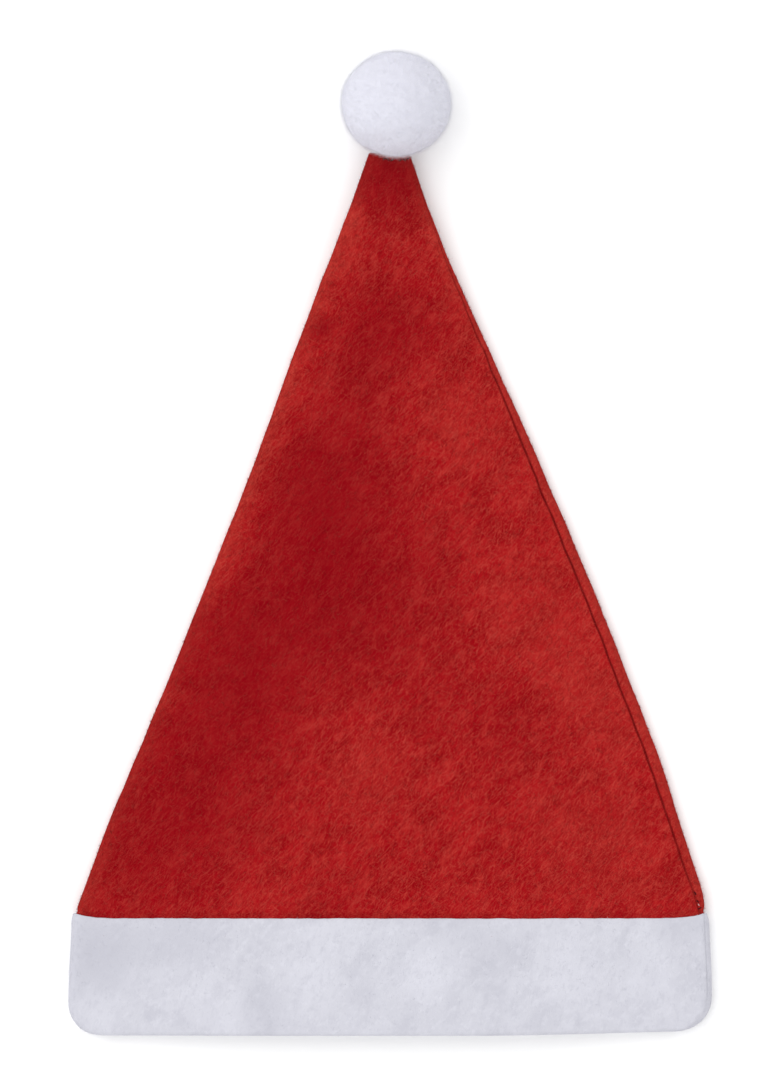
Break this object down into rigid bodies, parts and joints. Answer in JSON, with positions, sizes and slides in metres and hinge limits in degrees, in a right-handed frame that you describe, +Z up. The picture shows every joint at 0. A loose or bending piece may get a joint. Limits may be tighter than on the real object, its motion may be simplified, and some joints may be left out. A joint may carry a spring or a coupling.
{
  "type": "santa hat",
  "caption": "Soft tapered felt hat lying flat, with a folded contrasting brim band open for the head and a round plush pompom at the tip.",
  "frame": {"origin": "on the floor under the middle of the whole hat as it lies", "axes": "+Y from the brim towards the pompom, +Z up from the floor, +X towards the side seam"},
  "size_m": [0.2894, 0.4426, 0.0464],
  "materials": {
    "felt_red": "matt red nonwoven felt with a fine nap",
    "felt_white": "matt white nonwoven felt",
    "plush_white": "soft white plush pile"
  },
  "bodies": {
    "root": {"crown": "felt_red", "brim_band": "felt_white", "pompom": "plush_white"}
  },
  "joints": []
}
